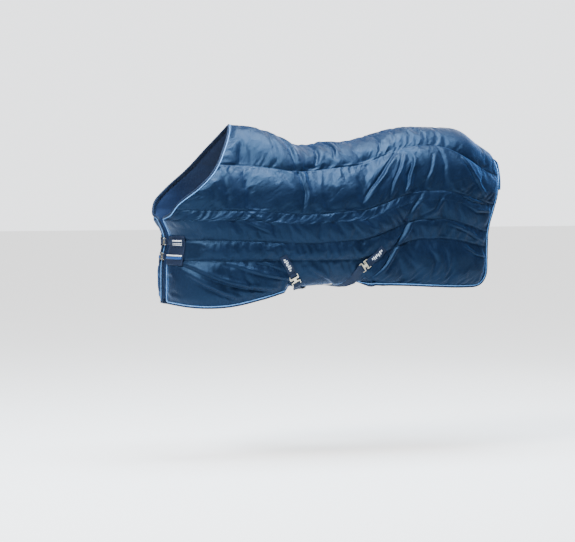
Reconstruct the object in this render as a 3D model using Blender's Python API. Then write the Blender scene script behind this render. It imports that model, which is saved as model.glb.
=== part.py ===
# A quilted horse rug in the shape it takes on the horse, which faces -X.
# The near (left) side is toward -Y. The origin is on the topline at the withers.
from math import cos, pi, sin

import bmesh
import bpy
import numpy as np
from mathutils import Matrix

# ---- driving dimensions, in metres ----
BACK = 1.400            # withers to the dock, along X
DROP = 0.900            # withers to the lowest part of the hem
HALF_WIDTH = 0.335      # widest half of the barrel
CHEST_REACH = 0.335     # how far the front edges lie ahead of the withers
CHEST_GAP = 0.070       # open width between the two front edges
CLEAR = 0.0003          # gap between faces that touch
EDGE_CLEAR = 0.0019     # gap between the cut edge of the cloth and the piping
NECK_CLEAR = 0.0006     # the same on the neckline, which is straighter

CLOTH = 0.0012          # outer cloth and lining
SEAM_LOFT = 0.0034      # wadding left under a quilting line
PUFF = 0.0070           # how far a channel stands above its quilting lines
PIPING = 0.0035
BINDING = 0.0085
TAPE_WIDTH = 0.040      # tape along the inside of the back seam

FLAP_HINGE = 0.200      # the front folds open this far ahead of the withers
FLAP_TOP = 0.014        # width of the folding front where it starts on the neckline

WEB = 0.0018            # webbing thickness
CHEST_WEB = 0.026       # width of the chest webbing
BELLY_WEB = 0.038       # width of the belly webbing
PATCH_LENGTH = 0.142    # chest patch, from the front edge around the chest
PATCH_HEIGHT = 0.142
PATCH = 0.0016          # patch thickness
PATCH_LIFT = 0.0006     # height of a patch above the mid-channel surface
CHEST_STRAPS = (        # each closure's depth below the withers and rise above the patch
    ("upper", 0.575, 0.0022),
    ("lower", 0.647, 0.0009),
)
FITTING = 0.0026        # sheet thickness of the metal fittings
FITTING_BAR = 0.0055    # bar that the webbing is looped around
FITTING_SLOT = 0.0070   # slot that the webbing passes through
FITTING_WALL = 0.0040   # metal beside and beyond a slot
HOOK_REACH = 0.035      # from a hook's bar to the end of its T head
EYE_REACH = 0.020       # from an eye's bar to its far edge
EYE_SLOT = 0.0038       # slot for the T head
BAR_OUT = 0.010         # from the end of the sewn webbing to the bar
SLIDER_LENGTH = 0.016

TAIL_FLAP_LENGTH = 0.150
TAIL_FLAP_HALF_WIDTH = 0.080
TAIL_FLAP_THICKNESS = 0.006

PIPING_CLEAR = 0.0011   # gap between the piping and the binding
TRIM = PIPING + BINDING + EDGE_CLEAR + PIPING_CLEAR
THICKNESS = PUFF + SEAM_LOFT + 2 * CLOTH + 2 * CLEAR
COLUMNS = 18
FLAP_COLUMNS = 4

# Quilting lines as shares of the way down a side, and how each one runs:
# depth below the withers, dip under the saddle, rise over the stifle, fall at the rear.
SEAMS = (0.22, 0.46, 0.62, 0.73)
SEAM_RUNS = (
    (0.200, 0.030, 0.095, 0.150),
    (0.420, 0.020, 0.090, 0.080),
    (0.565, 0.017, 0.094, 0.085),
    (0.663, 0.000, 0.098, 0.060),
)


# ---- the form of the horse under the rug ----
def ramp(x, start, end):
    t = np.clip((np.asarray(x, float) - start) / (end - start), 0.0, 1.0)
    return t * t * (3.0 - 2.0 * t)


def bump(x, centre, width):
    return np.exp(-(((np.asarray(x, float) - centre) / width) ** 2))


def smooth_curve(points, x_scale, y_scale):
    """A smooth function through a few points, given as shares of two sizes."""
    xs = np.array([p[0] for p in points]) * x_scale
    ys = np.array([p[1] for p in points]) * y_scale
    slopes = np.gradient(ys, xs)

    def curve(x):
        x = np.asarray(x, float)
        k = np.clip(np.searchsorted(xs, x) - 1, 0, len(xs) - 2)
        h = xs[k + 1] - xs[k]
        t = np.clip((x - xs[k]) / h, 0.0, 1.0)
        start = (2 * t**3 - 3 * t**2 + 1) * ys[k] + (t**3 - 2 * t**2 + t) * h * slopes[k]
        end = (3 * t**2 - 2 * t**3) * ys[k + 1] + (t**3 - t**2) * h * slopes[k + 1]
        return start + end

    return curve


spine = smooth_curve(
    [(-0.29, 0.31), (-0.14, 0.12), (0.0, 0.0), (0.08, -0.012), (0.186, -0.070),
     (0.222, -0.098), (0.29, -0.114), (0.353, -0.098), (0.436, -0.092), (0.519, -0.068),
     (0.647, -0.022), (0.76, -0.017), (0.858, -0.032), (0.908, -0.086), (0.963, -0.136),
     (1.01, -0.190)], BACK, DROP)
half_width = smooth_curve(
    [(-0.29, 0.81), (-0.07, 0.85), (0.07, 0.90), (0.21, 0.97), (0.36, 1.0), (0.50, 0.97),
     (0.61, 0.91), (0.71, 0.895), (0.82, 0.85), (0.93, 0.70), (1.01, 0.51)], BACK, HALF_WIDTH)
hem = smooth_curve(
    [(-0.26, -0.950), (-0.186, -0.972), (-0.064, -0.972), (0.057, -0.932), (0.14, -0.898),
     (0.214, -0.876), (0.357, -0.860), (0.49, -0.864), (0.64, -0.876), (0.79, -0.886),
     (0.93, -0.886)], BACK, DROP)
neckline = smooth_curve(
    [(-0.522, -0.251), (-0.444, -0.234), (-0.361, -0.175), (-0.261, -0.107),
     (-0.144, -0.0536), (0.0, 0.0), (0.2, 0.02)], DROP, BACK)


def seam_height(k, x):
    depth, dip, rise, fall = SEAM_RUNS[k]
    s = x / BACK
    share = -depth - dip * bump(s, 0.21, 0.14) + rise * ramp(s, 0.39, 0.66) - fall * ramp(s, 0.71, 1.0)
    return share * DROP / 0.9


def level(x, v):
    """Height at x of the line that runs a share v of the way down the side."""
    edges = (0.0,) + SEAMS + (1.0,)
    heights = [spine(x)] + [seam_height(k, x) for k in range(len(SEAMS))] + [hem(x)]
    k = min(int(np.searchsorted(edges, v, side="right")) - 1, len(SEAMS))
    t = (v - edges[k]) / (edges[k + 1] - edges[k])
    if k == 0:
        t = t**1.7
    return heights[k] * (1.0 - t) + heights[k + 1] * t


def chest_front(z):
    d = z / DROP
    bulge = 0.022 * bump(d, -0.50, 0.055) - 0.020 * bump(d, -0.644, 0.078)
    return -CHEST_REACH - bulge - 0.9 * np.clip(z + 0.52 * DROP, 0.0, DROP)


def side_width(x, z):
    s = x / BACK
    below = np.maximum(spine(x) - z, 1e-6) / DROP
    shoulder = 0.51 - 0.067 * ramp(s, 0.0, 0.21) - 0.078 * ramp(s, 0.43, 0.68)
    a = np.clip(1.0 - below / shoulder, 0.0, 1.0)
    arch = (1.0 - a ** (1.5 + 0.5 * ramp(s, 0.0, 0.25))) ** (1.0 / (1.2 + 0.8 * ramp(s, 0.0, 0.25)))
    low = np.clip((below - shoulder) / 0.39, 0.0, 2.0)
    tuck = ramp(s, 0.07, 0.21) * (1.0 - ramp(s, 0.36, 0.51))
    width = half_width(x) * (1.0 - (0.05 + 0.10 * tuck) * low**2)
    turn = 0.06 * BACK
    t = np.clip((turn - x) / (turn - chest_front(z)), 0.0, 1.0)
    return width * arch * (1.0 - t**2.8) ** (1.0 / 2.8)


def rear_edge(z, hem_z):
    corner = 0.078 * DROP
    up = np.clip(corner - (z - hem_z), 0.0, corner)
    x = BACK * (0.919 + 0.084 * (1.0 - ramp(-z / DROP, 0.22, 0.64)))
    return x - (corner - np.sqrt(corner**2 - up**2))


def belly(x):
    """1 where the belly straps pull the hem in under the horse, else 0."""
    s = x / BACK
    return ramp(s, 0.135, 0.207) * (1.0 - ramp(s, 0.371, 0.457))


def side_point(x, v):
    """Points on the near side's outer face, with y as the distance from the middle."""
    x = np.asarray(x, float)
    z = level(x, v)
    y = side_width(x, z) if v > 0.0 else 0.0 * x
    last = SEAMS[-1]
    if v > last:
        t = (v - last) / (1.0 - last)
        z_top = level(x, last)
        y_top = side_width(x, z_top)
        slope = (side_width(x, z_top + 0.01) - y_top) / 0.01
        z_low = hem(x)
        y_knee = y_top + slope * (z_low - 0.02 - z_top)
        y_bend = (1 - t) ** 2 * y_top + 2 * t * (1 - t) * y_knee + t * t * 0.39 * HALF_WIDTH
        z_bend = (1 - t) ** 2 * z_top + 2 * t * (1 - t) * (z_low - 0.02) + t * t * z_low
        m = belly(x)
        y = y * (1 - m) + y_bend * m
        z = z * (1 - m) + z_bend * m
    return np.stack([x, -y - CLEAR / 2, z], -1)


def side_normal(x, v):
    x = np.asarray(x, float)
    dx = side_point(x + 0.004, v) - side_point(x - 0.004, v)
    dv = side_point(x, min(v + 0.02, 1.0)) - side_point(x, max(v - 0.02, 0.0))
    n = np.cross(dv, dx)
    if v == 0.0:
        n[..., 1] = 0.0
    n /= np.linalg.norm(n, axis=-1, keepdims=True)
    return n


def puff(v):
    """How far the outer face stands out at v: 1 in mid channel, 0 on a quilting line."""
    edges = (0.0,) + SEAMS + (1.0,)
    k = min(int(np.searchsorted(edges, v, side="right")) - 1, len(SEAMS))
    t = (v - edges[k]) / (edges[k + 1] - edges[k])
    return 4.0 * t * (1.0 - t)


# ---- rows of points across the panels ----
def row_span(v):
    """The x where the cloth starts and ends on the row at v, trim allowed for."""
    # samples crowd toward the chest, where the surface turns across the horse
    a = -CHEST_REACH - 0.05
    xs = np.concatenate([a + (0.10 - a) * (1 - np.cos(np.linspace(0, pi / 2, 1500))),
                         np.linspace(0.101, BACK * 1.02, 1500)])
    p = side_point(xs, v)
    inside = xs <= rear_edge(p[:, 2], hem(xs))
    inside &= xs >= neckline_x(p[:, 2])
    if v > 0.3:
        inside &= -p[:, 1] >= CHEST_GAP / 2
    p = p[inside]
    xs = xs[inside]
    run = np.concatenate([[0.0], np.cumsum(np.linalg.norm(np.diff(p, axis=0), axis=1))])
    return xs, run


def neckline_x(z):
    x = neckline(np.clip(z, -0.522 * DROP, 0.2 * DROP))
    return np.where(z > -0.522 * DROP, x, -1.0)


def place_on_row(v, start, end, count):
    """count + 1 values of x evenly spaced along the row between two x values."""
    xs, run = row_span(v)
    a = TRIM if start is None else float(np.interp(start, xs, run))
    b = run[-1] - TRIM if end is None else float(np.interp(end, xs, run))
    return np.interp(np.linspace(a, b, count + 1), run, xs)


def flap_start():
    """The share down the side where the folding front starts on the neckline."""
    low, high = SEAMS[0], SEAMS[1]
    for step in range(20):
        v = (low + high) / 2
        if row_span(v)[0][0] < -FLAP_HINGE - FLAP_TOP - TRIM:
            high = v
        else:
            low = v
    return high


FLAP_V = flap_start()
ROWS = [0.0, 0.06, 0.12, 0.17, SEAMS[0], (SEAMS[0] + FLAP_V) / 2, FLAP_V, (FLAP_V + SEAMS[1]) / 2,
        SEAMS[1], 0.54, SEAMS[2], 0.675, SEAMS[3], 0.82, 0.91, 1.0]
FLAP_ROWS = [v for v in ROWS if v >= FLAP_V]


def panel_grid(rows, columns, front):
    """Points, outward normals and puff for one side's main panel or its folding front."""
    points, normals, puffs = [], [], []
    for v in rows:
        if front:
            xs = place_on_row(v, None, -FLAP_HINGE - CLEAR / 2, columns)
        elif v >= FLAP_V:
            xs = place_on_row(v, -FLAP_HINGE + CLEAR / 2, None, columns)
        else:
            xs = place_on_row(v, None, None, columns)
        points.append(side_point(xs, v))
        normals.append(side_normal(xs, v))
        puffs.append(np.full(len(xs), PUFF * (puff(v) - 1.0)))
    return np.array(points), np.array(normals), np.array(puffs)


# ---- making objects ----
for old in list(bpy.data.objects):
    bpy.data.objects.remove(old, do_unlink=True)
rug = bpy.data.collections.new("horse_rug")
bpy.context.scene.collection.children.link(rug)


def material(name, color, roughness, metallic=0.0):
    m = bpy.data.materials.new(name)
    m.use_nodes = True
    shader = m.node_tree.nodes["Principled BSDF"]
    shader.inputs["Base Color"].default_value = (*color, 1.0)
    shader.inputs["Roughness"].default_value = roughness
    shader.inputs["Metallic"].default_value = metallic
    return m


def add(name, mesh, color, roughness=0.6, metallic=0.0):
    mesh.materials.clear()
    mesh.materials.append(material(name, color, roughness, metallic))
    obj = bpy.data.objects.new(name, mesh)
    rug.objects.link(obj)
    return obj


NAVY = (0.035, 0.075, 0.19)
NAVY_TAPE = (0.015, 0.03, 0.09)
LINING = (0.03, 0.05, 0.11)
FLEECE = (0.75, 0.75, 0.72)
PALE_BLUE = (0.42, 0.60, 0.82)
METAL = (0.72, 0.62, 0.42)


def mesh_from(name, points, faces):
    bm = bmesh.new()
    verts = [bm.verts.new(p) for p in points]
    for face in faces:
        bm.faces.new([verts[i] for i in face])
    bmesh.ops.recalc_face_normals(bm, faces=bm.faces)
    mesh = bpy.data.meshes.new(name)
    bm.to_mesh(mesh)
    bm.free()
    return mesh


def split_quad(low, high, next_low, next_high, from_low):
    """Two triangles, cut so that faces that lie against each other bend alike."""
    if from_low:
        return [(low, high, next_high), (low, next_high, next_low)]
    return [(low, high, next_low), (high, next_high, next_low)]


def slab(name, points, normals, low, high, mirrored=False):
    """A closed sheet between two offsets of a grid of points."""
    flip = np.array([1.0, -1.0, 1.0]) if mirrored else np.ones(3)
    rows, columns = points.shape[:2]
    outer = (points + normals * high[..., None]) * flip
    inner = (points + normals * low[..., None]) * flip
    count = rows * columns

    def at(r, c, side):
        return side * count + r * columns + c

    faces = []
    for r in range(rows - 1):
        for c in range(columns - 1):
            for k in (0, 1):
                faces.append((at(r, c, k), at(r, c + 1, k), at(r + 1, c + 1, k)))
                faces.append((at(r, c, k), at(r + 1, c + 1, k), at(r + 1, c, k)))
    rim = [(0, c) for c in range(columns)] + [(r, columns - 1) for r in range(1, rows)]
    rim += [(rows - 1, c) for c in range(columns - 2, -1, -1)] + [(r, 0) for r in range(rows - 2, 0, -1)]
    for (r, c), (r2, c2) in zip(rim, rim[1:] + rim[:1]):
        higher = points[r, c, 2] > points[r2, c2, 2]
        faces += split_quad(at(r, c, 1), at(r, c, 0), at(r2, c2, 1), at(r2, c2, 0), higher)
    points_list = np.concatenate([outer.reshape(-1, 3), inner.reshape(-1, 3)])
    return mesh_from(name, [tuple(p) for p in points_list], faces)


def bar(name, path, across, normals, near, far, low, high, mirrored=False):
    """A strip of rectangular section along a path, between two distances across it."""
    flip = np.array([1.0, -1.0, 1.0]) if mirrored else np.ones(3)
    corners = [path + across * a + normals * h for a, h in
               ((near, low), (far, low), (far, high), (near, high))]
    points = (np.stack(corners, 1) * flip).reshape(-1, 3)
    faces = [(3, 2, 1, 0)]
    for i in range(len(path) - 1):
        k = 4 * i
        higher = path[i][2] > path[i + 1][2]
        for low_corner, high_corner in ((k, k + 3), (k + 1, k + 2), (k, k + 1), (k + 3, k + 2)):
            faces += split_quad(low_corner, high_corner, low_corner + 4, high_corner + 4, higher)
    last = 4 * (len(path) - 1)
    faces.append((last, last + 1, last + 2, last + 3))
    return mesh_from(name, [tuple(p) for p in points], faces)


def unit(v):
    v = np.asarray(v, float)
    return v / np.linalg.norm(v, axis=-1, keepdims=True)


def edge_across(path, normals):
    """The direction in the cloth that leaves the edge, scaled so strips stay parallel."""
    steps = unit(np.diff(path, axis=0))
    before = np.concatenate([steps[:1], steps])
    after = np.concatenate([steps, steps[-1:]])
    tangent = unit(before + after)
    across = unit(np.cross(tangent, normals))
    reach = np.clip(np.einsum("ij,ij->i", tangent, after), 0.5, 1.0)
    across /= reach[:, None]
    # the two sides meet in the plane of symmetry
    across[np.abs(path[:, 1]) < CLEAR, 1] = 0.0
    return across


# ---- panels ----
main_points, main_normals, main_puff = panel_grid(ROWS, COLUMNS, False)
flap_points, flap_normals, flap_puff = panel_grid(FLAP_ROWS, FLAP_COLUMNS, True)
LAYERS = (
    ("shell", lambda p: p - CLOTH, lambda p: p, NAVY, 0.45),
    ("wadding", lambda p: p * 0 - THICKNESS + CLOTH + CLEAR, lambda p: p - CLOTH - CLEAR, FLEECE, 0.9),
    ("lining", lambda p: p * 0 - THICKNESS, lambda p: p * 0 - THICKNESS + CLOTH, LINING, 0.6),
)
SIDES = (("near", False), ("off", True))
for side, mirrored in SIDES:
    for layer, low, high, color, roughness in LAYERS:
        main = slab(f"{layer}_{side}", main_points, main_normals, low(main_puff), high(main_puff), mirrored)
        add(f"{layer}_{side}", main, color, roughness)
        flap = slab(f"flap_{layer}_{side}", flap_points, flap_normals, low(flap_puff), high(flap_puff), mirrored)
        add(f"flap_{layer}_{side}", flap, color, roughness)

# ---- tape inside the back seam ----
first_row = unit(main_points[1] - main_points[0])
tape_drop = first_row * (TAPE_WIDTH / 2)
tape_rows = np.array([main_points[0] + tape_drop, main_points[0], main_points[0] + tape_drop])
tape_rows[1][:, 1] = 0.0
tape_rows[2][:, 1] *= -1.0
tape_normals = np.array([main_normals[0]] * 3)
tape_high = np.full(tape_rows.shape[:2], -THICKNESS - 6 * CLEAR)
add("spine_tape", slab("spine_tape", tape_rows, tape_normals, tape_high - 2 * CLOTH, tape_high), NAVY_TAPE)

# ---- piping and binding around the edges ----
body_front = [k for k, v in enumerate(ROWS) if v < FLAP_V]
neck_path = main_points[body_front, 0]
neck_normals = main_normals[body_front, 0]
hem_path = np.concatenate([main_points[-1], main_points[:-1, -1][::-1]])
hem_normals = np.concatenate([main_normals[-1], main_normals[:-1, -1][::-1]])
flap_path = np.concatenate([flap_points[:, 0], flap_points[-1, 1:]])
flap_path_normals = np.concatenate([flap_normals[:, 0], flap_normals[-1, 1:]])
EDGES = (
    ("neck", neck_path, neck_normals, NECK_CLEAR),
    ("hem", hem_path, hem_normals, EDGE_CLEAR),
    ("flap", flap_path, flap_path_normals, EDGE_CLEAR),
)
for edge, path, normals, gap in EDGES:
    across = edge_across(path, normals)
    for side, mirrored in SIDES:
        piping = bar(f"{edge}_piping_{side}", path, across, normals, gap, gap + PIPING,
                     -THICKNESS, -PUFF + PIPING / 2, mirrored)
        add(f"{edge}_piping_{side}", piping, PALE_BLUE)
        binding = bar(f"{edge}_binding_{side}", path, across, normals,
                      gap + PIPING + PIPING_CLEAR, gap + PIPING + PIPING_CLEAR + BINDING,
                      -THICKNESS - CLOTH, -PUFF + CLOTH, mirrored)
        add(f"{edge}_binding_{side}", binding, NAVY_TAPE)

print("rug cloth", len(rug.objects), "pieces, flap starts at", round(FLAP_V, 3))


# ---- webbing: ribbons laid on the cloth or stretched between fittings ----
def ribbon(name, points, across, width, mirrored=False):
    """A flat band of webbing along a centre line, with its width along across."""
    points = np.asarray(points)
    steps = unit(np.diff(points, axis=0))
    before = np.concatenate([steps[:1], steps])
    after = np.concatenate([steps, steps[-1:]])
    tangent = unit(before + after)
    square = unit(np.cross(tangent, across))
    reach = np.clip(np.einsum("ij,ij->i", tangent, after), 0.5, 1.0)
    mesh = bar(name, points, np.asarray(across), square / reach[:, None],
               -width / 2, width / 2, -WEB / 2, WEB / 2, mirrored)
    return add(name, mesh, NAVY_TAPE, 0.7)


def surface(x, v, lift=0.0):
    """A point above the near side's outer face, and the outward normal there."""
    n = side_normal(np.array([x]), v)[0]
    return side_point(np.array([x]), v)[0] + n * lift, n


def loop_path(bar_at, toward, outward, tail):
    """Centre line of webbing that runs under a fitting's bar, up its slot and back over it."""
    over = FITTING + WEB + 2 * CLEAR
    half = FITTING_BAR / 2
    turn = half + WEB / 2 + 2 * CLEAR
    folded = WEB + 2 * CLEAR
    profile = [(-half - 0.003, 0.0), (half, 0.0), (turn, 0.22 * over), (turn, 0.78 * over),
               (half, over), (-half, over), (-half - 0.006, folded), (-half - tail, folded)]
    return [bar_at + toward * s + outward * (n - over / 2) for s, n in profile]


def plate(name, loops, origin, along, across, color=METAL):
    """A fitting cut from sheet metal: an outline and its holes in the plane of two directions."""
    curve = bpy.data.curves.new(name, "CURVE")
    curve.dimensions = "2D"
    curve.fill_mode = "BOTH"
    curve.extrude = FITTING / 2
    for loop in loops:
        spline = curve.splines.new("POLY")
        spline.points.add(len(loop) - 1)
        for point, (a, b) in zip(spline.points, loop):
            point.co = (a, b, 0.0, 1.0)
        spline.use_cyclic_u = True
    curve.materials.append(material(name, color, 0.3, 1.0))
    fitting = bpy.data.objects.new(name, curve)
    rug.objects.link(fitting)
    axes = np.eye(4)
    axes[:3, 0], axes[:3, 1] = along, across
    axes[:3, 2], axes[:3, 3] = np.cross(along, across), origin
    fitting.matrix_world = Matrix(axes.tolist())
    return fitting


def rounded(x0, x1, half, radius):
    """A rectangle with round corners, symmetric about the X axis."""
    points = []
    corners = ((x1 - radius, half - radius), (x0 + radius, half - radius),
               (x0 + radius, radius - half), (x1 - radius, radius - half))
    for quarter, (cx, cy) in enumerate(corners):
        for step in range(4):
            angle = (quarter + step / 3) * pi / 2
            points.append((cx + radius * cos(angle), cy + radius * sin(angle)))
    return points


def webbing_slot(width):
    return rounded(FITTING_BAR / 2, FITTING_BAR / 2 + FITTING_SLOT, width / 2 + 0.0012, 0.0015)


def hook_loops(width):
    """A slotted plate with a narrow neck and a T head."""
    body_end = FITTING_BAR / 2 + FITTING_SLOT + FITTING_WALL
    body = width / 2 + FITTING_WALL
    start, neck_end = -FITTING_BAR / 2, HOOK_REACH - 0.005
    neck, head = 0.18 * width, 0.42 * width
    outline = [(start, -body), (body_end, -body), (body_end + 0.003, -neck), (neck_end, -neck),
               (neck_end, -head), (HOOK_REACH, -head), (HOOK_REACH, head), (neck_end, head),
               (neck_end, neck), (body_end + 0.003, neck), (body_end, body), (start, body)]
    return [outline, webbing_slot(width)]


def eye_loops(width):
    """A slotted plate with a second, narrow slot for the T head."""
    outline = rounded(-FITTING_BAR / 2, EYE_REACH, width / 2 + FITTING_WALL, 0.0025)
    slot_end = EYE_REACH - FITTING_WALL / 2
    head_slot = rounded(slot_end - EYE_SLOT, slot_end, 0.46 * width, 0.0012)
    return [outline, webbing_slot(width), head_slot]


# ---- chest closure: patches, webbing, hooks on the near side and eyes on the off side ----
HOOK_RAISE = FITTING + 0.0005


def row_at(depth):
    """The share down the side whose row crosses the chest this far below the withers."""
    low, high = SEAMS[0], 1.0
    for step in range(24):
        v = (low + high) / 2
        if level(np.array([0.04 - CHEST_REACH]), v)[0] > -depth:
            low = v
        else:
            high = v
    return v


def chest_point(v, s, lift=0.0):
    """A point s back around the chest from the front edge, and the outward normal."""
    xs, run = row_span(v)
    return surface(float(np.interp(s, run, xs)), v, lift)


patch_middle = (CHEST_STRAPS[0][1] + CHEST_STRAPS[1][1]) / 2 + 0.004
patch_rows = [row_at(patch_middle + share * PATCH_HEIGHT) for share in (-0.5, -0.25, 0.0, 0.25, 0.5)]
patch_steps = np.linspace(TRIM + 0.001, PATCH_LENGTH, 8)
patch_points = np.array([[chest_point(v, s)[0] for s in patch_steps] for v in patch_rows])
patch_normals = np.array([[chest_point(v, s)[1] for s in patch_steps] for v in patch_rows])
patch_low = np.full(patch_points.shape[:2], PATCH_LIFT)
for side, mirrored in SIDES:
    mesh = slab(f"chest_patch_{side}", patch_points, patch_normals, patch_low, patch_low + PATCH, mirrored)
    add(f"chest_patch_{side}", mesh, NAVY_TAPE)

for place, drop, rise in CHEST_STRAPS:
    strap_lift = PATCH_LIFT + PATCH + rise
    v = row_at(drop)
    edge, edge_normal = chest_point(v, 0.0)
    toward = unit((edge - chest_point(v, 0.010)[0]) * (1, 1, 0))
    outward = unit(edge_normal * (1, 1, 0))
    outward = unit(outward - toward * np.dot(outward, toward))
    upward = np.cross(outward, toward)
    for side, mirrored in SIDES:
        raised = 0.0 if mirrored else HOOK_RAISE
        stops = np.linspace(PATCH_LENGTH - 0.008, 0.010, 8)
        laid = [chest_point(v, s, strap_lift + WEB / 2)[0] for s in stops]
        steps = np.gradient(np.array(laid), axis=0)
        laid_across = [unit(np.cross(chest_point(v, s)[1], step)) for s, step in zip(stops, steps)]
        bar_at = edge + toward * BAR_OUT + outward * (strap_lift + WEB + CLEAR + FITTING / 2 + raised)
        path = laid + loop_path(bar_at, toward, outward, 0.010)
        across = laid_across + [upward] * (len(path) - len(laid))
        ribbon(f"chest_strap_{place}_{side}", path, across, CHEST_WEB, mirrored)
        if mirrored:
            flip = np.array([1.0, -1.0, 1.0])
            plate(f"chest_eye_{place}", eye_loops(CHEST_WEB), bar_at * flip, toward * flip, upward)
        else:
            plate(f"chest_hook_{place}", hook_loops(CHEST_WEB), bar_at, toward, upward)

# ---- belly straps, crossed under the horse ----
# Each patch runs down from its first place to its second, and its strap crosses the hem at the third.
BELLY_PATCHES = {
    "front": (((0.126 * BACK, 0.704), (0.163 * BACK, 0.830)), (0.229 * BACK, 1.0)),
    "rear": (((0.492 * BACK, 0.704), (0.440 * BACK, 0.767)), (0.319 * BACK, 1.0)),
}
BELLY_LIFT = 0.0155     # height of the belly straps above the cloth
STRAP_CROSSING = 0.008  # one strap passes this far under the other
FITTING_SPAN = 0.055    # from the end of a patch to the bar of the hook


def belly_patch(place, count=4):
    """Centre line and across directions of a webbing patch on the near side."""
    (top, end), _ = BELLY_PATCHES[place]
    path, across = [], []
    for t in np.linspace(0.0, 1.0, count):
        p, n = surface(top[0] + (end[0] - top[0]) * t, top[1] + (end[1] - top[1]) * t, 2 * PATCH_LIFT + WEB / 2)
        path.append(p)
        across.append(n)
    steps = unit(np.gradient(np.array(path), axis=0))
    return path, [unit(np.cross(n, s)) for n, s in zip(across, steps)], steps[-1], across[-1]


def belly_run(place, mirrored, stops):
    """The part of a strap that lies on one side, from the patch to the hem."""
    (_, end), (hem_x, hem_v) = BELLY_PATCHES[place]
    flip = np.array([1.0, -1.0, 1.0]) if mirrored else np.ones(3)
    run = []
    for t in stops:
        run.append(surface(end[0] + (hem_x - end[0]) * t, end[1] + (hem_v - end[1]) * t, BELLY_LIFT)[0] * flip)
    return run


for strap, near_place, off_place, drop in (("a", "front", "rear", STRAP_CROSSING), ("b", "rear", "front", 0.0)):
    patch, across, toward, outward = belly_patch(near_place)
    outward = unit(outward - toward * np.dot(outward, toward))
    sideways = np.cross(outward, toward)
    bar_at = patch[-1] + toward * BAR_OUT + outward * (WEB / 2 + CLEAR + FITTING / 2)
    path = patch + loop_path(bar_at, toward, outward, 0.010)
    across += [sideways] * (len(path) - len(patch))
    ribbon(f"belly_patch_{near_place}_near", path, across, BELLY_WEB)
    plate(f"belly_eye_{near_place}", eye_loops(BELLY_WEB), bar_at, toward, sideways)

    hook_at = patch[-1] + toward * FITTING_SPAN + outward * (WEB / 2 + CLEAR + FITTING / 2 + HOOK_RAISE)
    plate(f"belly_hook_{near_place}", hook_loops(BELLY_WEB), hook_at, -toward, sideways)

    off_patch, off_across, off_toward, off_outward = belly_patch(off_place)
    flip = np.array([1.0, -1.0, 1.0])
    ribbon(f"belly_patch_{off_place}_off", off_patch, off_across, BELLY_WEB, True)
    start = (off_patch[-1] + off_toward * 2 * CLEAR) * flip
    near_run = belly_run(near_place, False, (0.45, 0.6, 0.75, 0.88, 1.0))
    off_run = belly_run(off_place, True, (0.12, 0.28, 0.44, 0.6, 0.75, 0.88, 1.0))
    near_run[-1] = near_run[-1] - np.array([0, 0, drop])
    off_run[-1] = off_run[-1] - np.array([0, 0, drop])
    middle = [near_run[-1] + (off_run[-1] - near_run[-1]) * t for t in (0.3, 0.5, 0.7)]
    loop = loop_path(hook_at, -toward, outward, 0.010)[::-1]
    path = loop + near_run + middle + off_run[::-1] + [start]
    steps = unit(np.gradient(np.array(path), axis=0))
    along = unit(off_run[-1] - near_run[-1])
    level_across = unit(np.cross(along, (0.0, 0.0, 1.0)))
    end_across = off_across[-1] * flip
    across = []
    for k, p in enumerate(path):
        if k < len(loop):
            across.append(sideways * np.sign(np.dot(sideways, level_across)))
            continue
        share = (k - len(loop) + 1) / (len(path) - len(loop))
        near_across = sideways * np.sign(np.dot(sideways, level_across))
        far_across = end_across * np.sign(np.dot(end_across, level_across))
        blend_near, blend_far = max(0.0, 1 - 3 * share), max(0.0, 3 * share - 2)
        mixed = near_across * blend_near + far_across * blend_far + level_across * (1 - blend_near - blend_far)
        across.append(unit(mixed - steps[k] * np.dot(mixed, steps[k])))
    across[-1] = far_across
    ribbon(f"belly_strap_{strap}", path, across, BELLY_WEB)

    below = -np.cross(along, level_across)
    below *= -np.sign(below[2])
    slider_at = middle[0] + below * (WEB / 2 + CLEAR + FITTING / 2)
    outline = rounded(-SLIDER_LENGTH / 2, SLIDER_LENGTH / 2, BELLY_WEB / 2 + 0.004, 0.002)
    plate(f"belly_slider_{strap}", [outline], slider_at, along, level_across)

# ---- tail flap ----
flap_start_x = BACK * 1.003 + 0.0012
flap_rows, flap_lines = 5, 5
tail_points = np.zeros((flap_rows, flap_lines, 3))
tail_normals = np.zeros((flap_rows, flap_lines, 3))
for r in range(flap_rows):
    for c in range(flap_lines):
        t = r / (flap_rows - 1)
        w = 2 * c / (flap_lines - 1) - 1
        angle = 0.75 + 0.85 * t
        reach = TAIL_FLAP_LENGTH * t
        x = flap_start_x + 0.30 * reach * (1 - 0.55 * t)
        z = float(spine(BACK * 1.003)) - 0.006 - 0.93 * reach - 0.022 * w * w
        tail_points[r, c] = (x, w * TAIL_FLAP_HALF_WIDTH * (1 - 0.12 * t), z)
        tail_normals[r, c] = unit((sin(angle), 0.25 * w, cos(angle)))
tail_low = np.full((flap_rows, flap_lines), -TAIL_FLAP_THICKNESS)
tail = slab("tail_flap", tail_points, tail_normals, tail_low, tail_low + TAIL_FLAP_THICKNESS)
add("tail_flap", tail, NAVY)
tail_path = np.concatenate([tail_points[:, 0], tail_points[-1, 1:], tail_points[:-1, -1][::-1]])
tail_path_normals = np.concatenate([tail_normals[:, 0], tail_normals[-1, 1:], tail_normals[:-1, -1][::-1]])
tail_across = edge_across(tail_path, tail_path_normals)
add("tail_flap_piping", bar("tail_flap_piping", tail_path, tail_across, tail_path_normals, CLEAR,
                            CLEAR + PIPING, -TAIL_FLAP_THICKNESS, CLEAR), PALE_BLUE)

print("pieces", len(rug.objects), "flap starts at", round(FLAP_V, 3))
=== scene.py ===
from math import cos, pi, radians, sin

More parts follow.
